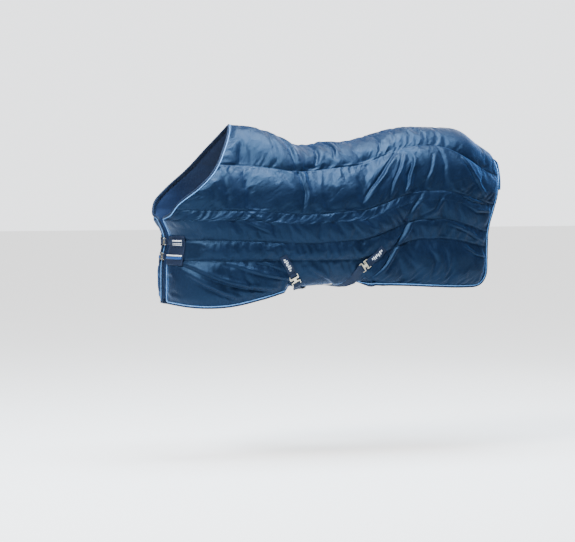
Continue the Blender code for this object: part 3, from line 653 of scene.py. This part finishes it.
stitchSizes = dict(  # length, gap, width
    quilting=(0.0036, 0.0016, 0.0011), binding=(0.0034, 0.0018, 0.0009), panel=(0.0030, 0.0014, 0.0008),
    webbing=(0.0030, 0.0022, 0.0007), tail=(0.0032, 0.0016, 0.0009))


def stitches(name, rows, kind):
    # short raised threads along each (path, normals) row
    length, gap, width = stitchSizes[kind]
    verts, faces, uvs, first = [], [], [], 0
    for path, normals in rows:
        path, normals = resample(path, 0.002, normals)
        run = np.arange(len(path)) * np.linalg.norm(path[1] - path[0])
        starts = np.arange(gap, run[-1] - length, length + gap)
        t = starts[:, None] + np.array([0.0, length / 2, length])
        p = np.stack([np.interp(t, run, path[:, k]) for k in range(3)], -1)
        n = unit(np.stack([np.interp(t, run, normals[:, k]) for k in range(3)], -1))
        edge = np.cross(n, unit(p[:, 2:] - p[:, :1])) * width / 2
        rise = np.array([0.1, 1.0, 0.1])[None, :, None] * n * width * 0.7
        low = n * width * 0.4
        verts.append(np.stack([p - edge - low, p + rise, p + edge - low], 2).reshape(-1, 3))
        uvs.append(np.tile([(0.0, 0.0), (0.0005, 0.001), (0.001, 0.0)], (3 * len(starts), 1)))
        for base in first + 9 * np.arange(len(starts)):
            for a in (base, base + 3):
                faces += [(a, a + 1, a + 4, a + 3), (a + 1, a + 2, a + 5, a + 4)]
        first += 9 * len(starts)
    return piece(name, np.concatenate(verts), faces, np.concatenate(uvs), "thread")


# quilted outer cloth and lining, one sheet each per side
def settleCloth(grid, lift, settings):
    # wadding pushes the slack cloth out between the rows of quilting, where it wrinkles
    step = settings["step"]
    start = (grid["points"] + grid["normals"] * lift[..., None])[::step, ::step]
    rows, columns = start.shape[:2]
    share = grid["v"][::step]
    held = np.zeros((rows, columns))
    held[[0, -1]] = held[:, [0, -1]] = 1.0
    for edge in lineEdges:
        held[int(np.argmin(np.abs(share - edge)))] = 1.0
    for px, pv, reach, reachDown in pressedAreas:
        held[np.hypot((start[..., 0] - px) / reach, (share[:, None] - pv) / reachDown) < 1] = 1.0
    mesh = bpy.data.meshes.new("slack")
    mesh.from_pydata(start.reshape(-1, 3).tolist(), [], gridFaces(rows, columns, True))
    slack = bpy.data.objects.new("slack", mesh)
    bpy.context.scene.collection.objects.link(slack)
    pins = slack.vertex_groups.new(name="sewn")
    pins.add(np.flatnonzero(held.ravel()).tolist(), 1.0, "REPLACE")
    cloth = slack.modifiers.new("slack", "CLOTH").settings
    cloth.quality, cloth.mass = settings["quality"], settings["mass"]
    cloth.air_damping = settings["damping"]
    cloth.tension_stiffness = cloth.compression_stiffness = settings["stiffness"]
    cloth.shear_stiffness, cloth.bending_stiffness = settings["shear"], settings["bending"]
    cloth.shrink_min = -settings["slack"]
    cloth.use_pressure, cloth.uniform_pressure_force = True, settings["pressure"]
    cloth.vertex_group_mass = "sewn"
    cloth.effector_weights.gravity = 0.0
    for frameNumber in range(1, settings["frames"] + 1):
        bpy.context.scene.frame_set(frameNumber)
    settled = slack.evaluated_get(bpy.context.evaluated_depsgraph_get()).data
    moved = np.zeros(rows * columns * 3)
    settled.vertices.foreach_get("co", moved)
    moved = moved.reshape(rows, columns, 3) - start
    bpy.data.objects.remove(slack)
    bpy.context.scene.frame_set(1)
    size = np.linalg.norm(moved, axis=-1, keepdims=True)
    moved *= np.minimum(1.0, settings["limit"] / np.maximum(size, 1e-9))
    print("cloth settled, moved up to", round(float(size.max()), 4))
    fine = np.zeros(grid["points"].shape)
    fine[::2, ::2] = moved
    fine[1::2, ::2] = (moved[:-1] + moved[1:]) / 2
    fine[:, 1::2] = (fine[:, :-1:2] + fine[:, 2::2]) / 2
    for turn in range(2):
        fine = relax(relax(fine, 1).swapaxes(0, 1), 1).swapaxes(0, 1)
    return fine


slackCloth = dict(step=2, quality=5, mass=0.15, damping=2.0, stiffness=10.0, shear=3.0, bending=0.05,
                  slack=0.028, pressure=1.2, frames=16, limit=0.010)
outerGrid = clothGrid((70, 58, 32, 22, 48), 380)
innerGrid = clothGrid((26, 22, 12, 9, 18), 130)
settled = np.zeros(outerGrid["points"].shape)
settled = settleCloth(outerGrid, clothRelief(outerGrid, 11, 0.6), slackCloth)
quilts = {}
for side, way, flap in sides:
    seed = 11 if side == "near" else 61
    lift = clothRelief(outerGrid, seed)
    points = outerGrid["points"] + outerGrid["normals"] * lift[..., None] + settled
    rows, columns = lift.shape
    uvs = np.stack([outerGrid["run"], outerGrid["down"]], -1).reshape(-1, 2)
    quilt = piece(f"quilt_{side}", mirror(points.reshape(-1, 3), way), gridFaces(rows, columns, way > 0),
                  uvs, "shell")
    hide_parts(f"shell_{side}", f"wadding_{side}", f"flap_shell_{side}", f"flap_wadding_{side}")
    bendFront(quilt)

    innerLift = -rug["thickness"] - 0.0002 + 0 * innerGrid["down"]
    wave = clothRelief(innerGrid, seed + 20, 0.25) + rug["puff"]
    innerLift -= np.clip(wave * 0.30, -0.002, 0.0016)
    inner = innerGrid["points"] + innerGrid["normals"] * innerLift[..., None]
    uvs = np.stack([innerGrid["run"], innerGrid["down"]], -1).reshape(-1, 2)
    lining = piece(f"lining_cloth_{side}", mirror(inner.reshape(-1, 3), way),
                   gridFaces(*innerLift.shape, way < 0), uvs, "lining")
    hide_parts(f"lining_{side}", f"flap_lining_{side}")
    bendFront(lining)
    quilts[side] = (quilt, lining, points)
print("quilted cloth", outerGrid["points"].shape)

# quilting stitches
for side, way, flap in sides:
    points = quilts[side][2]
    normals = gridNormals(points)
    lines = []
    for edge in rug["quiltLines"]:
        row = int(np.argmin(np.abs(outerGrid["v"] - edge)))
        lines.append((mirror(points[row], way), mirror(normals[row], way)))
    for step in (1, 3):  # two rows of stitching hold the back seam
        lines.append((mirror(points[step], way), mirror(normals[step], way)))
    bendFront(stitches(f"quilting_thread_{side}", lines, "quilting"))

# piping and binding round the edge of each side
edge = dict(cord=0.00235, cordAt=0.0026, cordRise=0.0012, tapeAt=0.0036, tapeOver=0.0018,
            tapeRound=0.0028, reach=0.0070, pucker=0.0006)


def rimOf(values):
    return np.concatenate([values[:, 0], values[-1, 1:], values[:-1, -1][::-1]])


edgePath, edgeNormals = resample(rimOf(outerGrid["points"]), 0.006, rimOf(outerGrid["normals"]))
edgePath = relax(edgePath, 3)
edgeNormals = unit(relax(edgeNormals, 6))
edgeAcross = unit(np.cross(np.gradient(edgePath, axis=0), edgeNormals))
edgeAcross = unit(relax(edgeAcross, 3))
for end in (0, -1):
    edgeAcross[end, 1] = edgeNormals[end, 1] = 0.0
edgeAcross, edgeNormals = unit(edgeAcross), unit(edgeNormals)
pucker = edge["pucker"] * softNoise(np.arange(len(edgePath)) * 0.45, np.zeros(len(edgePath)), 5)
outside, inside = -rug["puff"], -rug["thickness"]
for side, way, flap in sides:
    across, normals, path = (mirror(a, way) for a in (edgeAcross, edgeNormals, edgePath))
    cord = cordOutline((edge["cordAt"], outside + edge["cordRise"]), edge["cord"], edge["cord"])
    piping = sweep(f"piping_{side}", path, across, normals, cord, "piping")
    near, far = edge["tapeAt"], edge["tapeAt"] + rug["binding"] + 0.0016
    low = inside - edge["tapeOver"]
    band = roundedBand(near, far, low, outside + 0.0016, edge["tapeRound"])
    band[6:9] = [(near, inside + 0.0010), (-edge["reach"], inside - 0.0004),
                 (-edge["reach"], low)]  # the tape reaches over the edge of the lining
    binding = sweep(f"binding_{side}", path + normals * pucker[:, None], across, normals, band,
                    "binding")
    for kind, run in (("piping", piping), ("binding", binding)):
        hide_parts(*[f"{part}_{kind}_{side}" for part in ("neck", "hem", "flap")])
        bendFront(run)
    row = [(path + across * 0.0062 + normals * (outside + 0.0017), normals)]
    bendFront(stitches(f"binding_thread_{side}", row, "binding"))
print("edges bound")

# webbing, patches and labels
web = dict(thick=0.0018, chest=0.026, belly=0.038, patchLength=0.142, patchHeight=0.142, patchThick=0.0016,
           patchLift=0.0006, straps=(("upper", 0.575, 0.0022), ("lower", 0.647, 0.0009)),
           bellyLift=0.0155, crossing=0.008, span=0.055, tail=0.010, rounding=0.0007)
metal = dict(sheet=0.0026, bar=0.0055, barOut=0.010, hookRaise=0.0031, clear=0.0003)


def webbing(name, path, across, width, body, stands):
    path, across = resample(path, 0.0014, across)
    path, across = relax(path, 2), unit(relax(across, 8))
    normals = unit(np.cross(np.gradient(path, axis=0), across))
    half = width / 2
    outline = roundedBand(-half, half, -web["thick"] / 2, web["thick"] / 2, web["rounding"])
    strap = sweep(name, path, across, normals, outline, "webbing")
    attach(strap, body)
    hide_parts(stands)
    mid = slice(4, -4)
    stitched = [(path[mid] + across[mid] * edge * (half - 0.0032) + normals[mid] * web["thick"] / 2 * face,
                 normals[mid] * face) for edge in (-1, 1) for face in (-1, 1)]
    thread = stitches(f"{name}_thread", stitched, "webbing")
    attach(thread, body)


def aroundBar(barAt, toward, outward, tail):
    over = metal["sheet"] + web["thick"] + 2 * metal["clear"]
    half = metal["bar"] / 2
    turn = half + web["thick"] / 2 + 2 * metal["clear"]
    folded = web["thick"] + 2 * metal["clear"]
    profile = [(-half - 0.003, 0.0), (half, 0.0), (turn, 0.22 * over), (turn, 0.78 * over),
               (half, over), (-half, over), (-half - 0.006, folded), (-half - tail, folded)]
    return [barAt + toward * s + outward * (n - over / 2) for s, n in profile]


def rowAtDepth(depth):
    low, high = rug["quiltLines"][0], 1.0
    for step in range(24):
        v = (low + high) / 2
        if rowHeight(np.array([0.04 - rug["chestReach"]]), v)[0] > -depth:
            low = v
        else:
            high = v
    return v


def chestPoint(v, s, lift=0.0):
    xs, run = rowSpan(v)
    return onSurface(float(np.interp(s, run, xs)), v, lift)


def surfacePad(name, boxes, low, high, way, finish, place, cells, crown=0.0):
    # closed pads that follow the cloth; each box is (start, end, top, bottom)
    verts, faces, uvs = [], [], []
    rows, columns = cells
    for start, end, top, bottom in boxes:
        first = len(verts)
        for face, height in ((1, high), (0, low)):
            for r in range(rows + 1):
                for c in range(columns + 1):
                    s = start + (end - start) * c / columns
                    d = top + (bottom - top) * r / rows
                    p, n = place(d, s)
                    sunk = 0.0 if min(r, rows - r, c, columns - c) else 0.35 * (high - low)
                    dome = crown * (1 - (2 * r / rows - 1) ** 2) * (1 - (2 * c / columns - 1) ** 2)
                    verts.append(mirror(p + n * (height + face * (dome - sunk)), way))
                    uvs.append((s, d))
        faces += [tuple(i + first for i in f) for f in closedFaces(rows, columns, way > 0)]
    return piece(name, verts, faces, uvs, finish)


sewnOn = {"near": [], "off": []}
chest = dict(start=0.0165, label=(0.052, 0.134, -0.13, 0.17), stripe=(0.012, 0.134, -0.075, -0.030),
             band=(0.012, 0.134, -0.010, 0.070), stitchRows=(0.0035, 0.0065),
             bars=((0.060, 0.126, -0.080, -0.020), (0.060, 0.126, 0.030, 0.055),
                   (0.060, 0.126, 0.080, 0.105)))
chestMiddle = (web["straps"][0][1] + web["straps"][1][1]) / 2 + 0.004
patchTop = web["patchLift"] + web["patchThick"]
strapTops = [patchTop + rise + web["thick"] for place, drop, rise in web["straps"]]
strapRows = [(drop - chestMiddle) / web["patchHeight"] for place, drop, rise in web["straps"]]


def onPatch(d, s):
    return chestPoint(rowAtDepth(chestMiddle + d * web["patchHeight"]), s)


def onStrap(row, boxes):
    return [(start, end, top + strapRows[row], bottom + strapRows[row])
            for start, end, top, bottom in boxes]


for side, way, flap in sides:
    upper, lower = strapTops
    pads = (  # kind, boxes, underside, top, finish, cells, crown
        ("panel", [(chest["start"], web["patchLength"], -0.5, 0.5)], web["patchLift"], patchTop,
         "patch", (16, 12), 0.0003),
        ("label", onStrap(0, [chest["label"]]), upper - 0.0012, upper + 0.0006, "patch", (8, 8), 0.0003),
        ("label_bars", onStrap(0, chest["bars"]), upper, upper + 0.0013, "label", (2, 4), 0.0),
        ("stripe", onStrap(1, [chest["stripe"]]), lower - 0.0004, lower + 0.0006, "label", (2, 12), 0.0),
        ("band", onStrap(1, [chest["band"]]), lower - 0.0004, lower + 0.0006, "blueBand", (2, 12), 0.0))
    for kind, boxes, under, over, finish, cells, crown in pads:
        sewnOn[side].append(surfacePad(f"chest_{kind}_{side}", boxes, under, over, way, finish,
                                       onPatch, cells, crown))
    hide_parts(f"chest_patch_{side}")
    rows = []
    for inset in chest["stitchRows"]:
        a, b = chest["start"] + inset, web["patchLength"] - inset
        d = 0.5 - inset / web["patchHeight"]
        corners = ((a, -d), (b, -d), (b, d), (a, d), (a, -d))
        ring = []
        for (s0, d0), (s1, d1) in zip(corners, corners[1:]):
            for t in np.linspace(0, 1, 9)[:-1]:
                ring.append(onPatch(d0 + (d1 - d0) * t, s0 + (s1 - s0) * t))
        ring.append(ring[0])
        rows.append((mirror([p + n * patchTop for p, n in ring], way), mirror([n for p, n in ring], way)))
    sewnOn[side].append(stitches(f"chest_panel_thread_{side}", rows, "panel"))
    for thing in sewnOn[side]:
        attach(thing, flap)

for place, drop, rise in web["straps"]:
    lift = patchTop + rise
    v = rowAtDepth(drop)
    rim, rimNormal = chestPoint(v, 0.0)
    toward = unit((rim - chestPoint(v, 0.010)[0]) * (1, 1, 0))
    outward = unit(rimNormal * (1, 1, 0))
    outward = unit(outward - toward * np.dot(outward, toward))
    upward = np.cross(outward, toward)
    stops = np.linspace(web["patchLength"] - 0.008, 0.010, 6)
    laid = [chestPoint(v, s, lift + web["thick"] / 2)[0] for s in stops]
    steps = np.gradient(np.array(laid), axis=0)
    laidAcross = [unit(np.cross(chestPoint(v, s)[1], step)) for s, step in zip(stops, steps)]
    for side, way, flap in sides:
        hookLift = lift + web["thick"] + metal["clear"] + metal["sheet"] / 2
        hookLift += metal["hookRaise"] if way > 0 else 0.0
        barAt = rim + toward * metal["barOut"] + outward * hookLift
        path = laid + aroundBar(barAt, toward, outward, web["tail"])
        across = laidAcross + [upward] * (len(path) - len(laid))
        webbing(f"chest_webbing_{place}_{side}", mirror(path, way), mirror(across, way), web["chest"],
                flap, f"chest_strap_{place}_{side}")

# each belly patch runs down from its first place to its second, and its strap passes the hem at the third
b = rug["back"]
bellyPlaces = dict(front=(((0.126 * b, 0.704), (0.163 * b, 0.830)), (0.229 * b, 1.0)),
                   rear=(((0.492 * b, 0.704), (0.440 * b, 0.767)), (0.319 * b, 1.0)))


def bellyPatch(place):
    top, end = bellyPlaces[place][0]
    path, across = [], []
    for t in np.linspace(0.0, 1.0, 4):
        x, v = top[0] + (end[0] - top[0]) * t, top[1] + (end[1] - top[1]) * t
        p, n = onSurface(x, v, 0.0012 + web["thick"] / 2)
        path.append(p)
        across.append(n)
    steps = unit(np.gradient(np.array(path), axis=0))
    return path, [unit(np.cross(n, s)) for n, s in zip(across, steps)], steps[-1], across[-1]


def bellyRun(place, way, stops):
    (start, end), (hemX, hemV) = bellyPlaces[place]
    places = [(end[0] + (hemX - end[0]) * t, end[1] + (hemV - end[1]) * t) for t in stops]
    return [mirror(onSurface(x, v, web["bellyLift"])[0], way) for x, v in places]


for strap, near, off, drop in (("a", "front", "rear", web["crossing"]), ("b", "rear", "front", 0.0)):
    patch, across, toward, outward = bellyPatch(near)
    outward = unit(outward - toward * np.dot(outward, toward))
    sideways = np.cross(outward, toward)
    rise = web["thick"] / 2 + metal["clear"] + metal["sheet"] / 2
    barAt = patch[-1] + toward * metal["barOut"] + outward * rise
    path = patch + aroundBar(barAt, toward, outward, web["tail"])
    across += [sideways] * (len(path) - len(patch))
    webbing(f"belly_anchor_{near}_near", path, across, web["belly"], "rug", f"belly_patch_{near}_near")

    offPatch, offAcross, offToward = bellyPatch(off)[:3]
    webbing(f"belly_anchor_{off}_off", mirror(offPatch, -1), mirror(offAcross, -1), web["belly"], "rug",
            f"belly_patch_{off}_off")
    hookAt = patch[-1] + toward * web["span"] + outward * (rise + metal["hookRaise"])
    start = mirror(offPatch[-1] + offToward * 2 * metal["clear"], -1)
    nearRun = bellyRun(near, 1.0, (0.45, 0.6, 0.75, 0.88, 1.0))
    offRun = bellyRun(off, -1.0, (0.12, 0.28, 0.44, 0.6, 0.75, 0.88, 1.0))
    for run in (nearRun, offRun):
        run[-1] = run[-1] - np.array([0, 0, drop])
    middle = [nearRun[-1] + (offRun[-1] - nearRun[-1]) * t for t in (0.3, 0.5, 0.7)]
    loop = aroundBar(hookAt, -toward, outward, web["tail"])[::-1]
    path = loop + nearRun + middle + offRun[::-1] + [start]
    steps = unit(np.gradient(np.array(path), axis=0))
    along = unit(offRun[-1] - nearRun[-1])
    levelAcross = unit(np.cross(along, (0.0, 0.0, 1.0)))
    endAcross = mirror(offAcross[-1], -1)
    nearAcross = sideways * np.sign(np.dot(sideways, levelAcross))
    farAcross = endAcross * np.sign(np.dot(endAcross, levelAcross))
    across = []
    for k, p in enumerate(path):
        share = max(0.0, (k - len(loop) + 1) / (len(path) - len(loop)))
        first, last = max(0.0, 1 - 3 * share), max(0.0, 3 * share - 2)
        mixed = nearAcross * first + farAcross * last + levelAcross * (1 - first - last)
        across.append(nearAcross if k < len(loop) else unit(mixed - steps[k] * np.dot(mixed, steps[k])))
    across[-1] = farAcross
    webbing(f"belly_webbing_{strap}", path, across, web["belly"], f"strap_{strap}", f"belly_strap_{strap}")

    # plain woven bars on each near anchor
    top, end = bellyPlaces[near][0]

    def onAnchor(d, s):
        p, n = onSurface(top[0] + (end[0] - top[0]) * d, top[1] + (end[1] - top[1]) * d)
        return p + unit(np.cross(n, toward)) * s, n

    half = web["belly"] / 2
    marks = [(-half * (0.50 if k % 2 else 0.36), half * (0.46 if k % 3 else 0.10),
              0.14 + 0.105 * k, 0.205 + 0.105 * k) for k in range(7)]
    mark = surfacePad(f"belly_mark_{near}", marks, 0.0020, 0.0034, 1.0, "label",
                      onAnchor, (6, 2))
    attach(mark, "rug")
    sewnOn["near"].append(mark)
print("webbing and labels")

# the tail cover
tail = dict(length=0.150, half=0.080, thick=0.006, rows=26, columns=28)
tailX = rug["back"] * 1.003


def tailPlace(t, w):
    reach = tail["length"] * t
    p = np.array([tailX + 0.0012 + 0.30 * reach * (1 - 0.55 * t), w * tail["half"] * (1 - 0.12 * t),
                  float(topline(tailX)) - 0.006 - 0.93 * reach - 0.022 * w * w])
    angle = 0.75 + 0.85 * t
    return p, unit((sin(angle), 0.25 * w, cos(angle)))


verts, uvs = [], []
tailRows, tailColumns = tail["rows"], tail["columns"]
for face in (1, 0):
    for r in range(tailRows + 1):
        for c in range(tailColumns + 1):
            t, w = r / tailRows, 2 * c / tailColumns - 1
            p, n = tailPlace(t, w)
            rim = min(1.0, 6 * min(t, 1 - t), 5 * (1 - abs(w)))
            quilt = 0.0030 * (1 - abs(2 * ((t * 2) % 1.0) - 1) ** 2.2) if 0 < t < 1 else 0.0
            ripple = 0.0012 * float(softNoise(np.array(w * 7.0), np.array(t * 3.0), 91))
            outer = -0.0010 + (quilt + ripple) * rim
            verts.append(p + n * (outer if face else -tail["thick"] + 0.0008 - 0.0008 * rim))
            uvs.append((w * tail["half"], tail["length"] * t))
faces = closedFaces(tailRows, tailColumns, False)
tailPiece = piece("tail_cover", verts, faces, uvs, "shell")
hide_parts("tail_flap")
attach(tailPiece, "tail")
border = [(t, -1.0) for t in np.linspace(0, 1, 30)]
border += [(1.0, w) for w in np.linspace(-0.93, 0.93, 28)] + [(t, 1.0) for t in np.linspace(1, 0, 30)]
path, normals = (np.array(a) for a in zip(*[tailPlace(*at) for at in border]))
path, normals = relax(path, 2), unit(normals)
across = unit(np.cross(np.gradient(path, axis=0), normals))
cord = cordOutline((0.0020, -0.0028), 0.0024, 0.0030)
tailCord = sweep("tail_cover_piping", path, across, normals, cord, "piping")
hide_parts("tail_flap_piping")
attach(tailCord, "tail")
tailRow = [(path - across * 0.004 + normals * -0.0006, normals)]
tailThread = stitches("tail_cover_thread", tailRow, "tail")
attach(tailThread, "tail")

# tape inside the back seam
seamTape = dict(width=0.020, below=0.0012, lift=0.0010, thick=0.0014)
down = unit(innerGrid["points"][1] - innerGrid["points"][0])
seamNormals = innerGrid["normals"][0]
start = innerGrid["points"][0] - seamNormals * (rug["thickness"] + seamTape["below"])
verts, uvs = [], []
for side in (-1, -0.5, 0, 0.5, 1):
    line = start + down * seamTape["width"] * abs(side)
    line[:, 1] *= np.sign(side)
    verts += list(line - seamNormals * seamTape["lift"])
    uvs += [(s, side * seamTape["width"]) for s in innerGrid["run"][0]]
tape = piece("back_seam_tape", verts, gridFaces(5, len(start), True), uvs, "binding")
tape.modifiers.new("thickness", "SOLIDIFY").thickness = seamTape["thick"]
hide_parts("spine_tape")
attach(tape, "rug")

for name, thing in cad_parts.items():
    if "hook" in name or "eye" in name or "slider" in name:
        edge = thing.modifiers.new("edge", "BEVEL")
        edge.width, edge.segments, edge.limit_method = 0.0005, 2, "ANGLE"

for side, way, flap in sides:
    quilt, lining, points = quilts[side]
print("tail cover and tape")

# floor, light and camera
light = dict(  # power, place, size, colour
    key=(860, (-3.9, -3.0, 4.3), 2.2, (1, 1, 1)), top=(640, (0.6, -0.4, 3.6), 3.0, (0.70, 0.86, 1.0)),
    back=(50, (3.6, 3.4, 1.8), 2.6, (1, 1, 1)))
view = dict(target=(0.2725, -0.0992, -0.722), azimuth=-20.0, elevation=2.5, distance=12.0,
            lens=154.0)
ground = dict(reach=40.0, height=-1.64, glow=1.6, dark=0.26, bright=2.6)

far, level = ground["reach"], ground["height"]
floor = piece("floor", [(-far, -far, level), (far, -far, level), (far, far, level), (-far, far, level)],
              [(0, 1, 2, 3)], [(0, 0), (1, 0), (1, 1), (0, 1)], "shell")
paper, tree, shader = emptyMaterial("paleFloor")
grain = node(tree, "ShaderNodeTexNoise", {"Scale": 3.0, "Detail": 4.0})[0]
seen = node(tree, "ShaderNodeLightPath", {})[0]  # looks white but doesn't light the rug from below
fill(tree, shader, {"Base Color": twoColors(tree, grain, (0.86, 0.87, 0.88, 1), (0.90, 0.90, 0.91, 1)),
                    "Roughness": 0.8, "Emission Color": (1, 1, 1, 1),
                    "Emission Strength": sums(tree, "MULTIPLY", seen, ground["glow"])})
floor.data.materials[0] = paper

world = bpy.data.worlds.new("studio")
world.use_nodes = True
tree = world.node_tree
seen = node(tree, "ShaderNodeLightPath", {})[0]
fill(tree, tree.nodes["Background"], {0: (0.95, 0.97, 1.0, 1),
                                      1: mapped(tree, seen, ground["dark"], ground["bright"])})
bpy.context.scene.world = world
for name, (power, place, size, color) in light.items():
    lamp = bpy.data.lights.new(name, "AREA")
    lamp.energy, lamp.size, lamp.color = power, size, color
    obj = bpy.data.objects.new(name, lamp)
    obj.location = place
    obj.rotation_euler = (Vector((0.5, 0, -0.4)) - Vector(place)).to_track_quat("-Z", "Y").to_euler()
    bpy.context.scene.collection.objects.link(obj)

az, el = radians(view["azimuth"]), radians(view["elevation"])
back = Vector((sin(az) * cos(el), -cos(az) * cos(el), sin(el)))
camera = bpy.data.objects.new("camera", bpy.data.cameras.new("camera"))
camera.data.lens, camera.data.sensor_width = view["lens"], 36.0
camera.location = Vector(view["target"]) + back * view["distance"]
camera.rotation_euler = (-back).to_track_quat("-Z", "Y").to_euler()
bpy.context.scene.collection.objects.link(camera)
bpy.context.scene.camera = camera
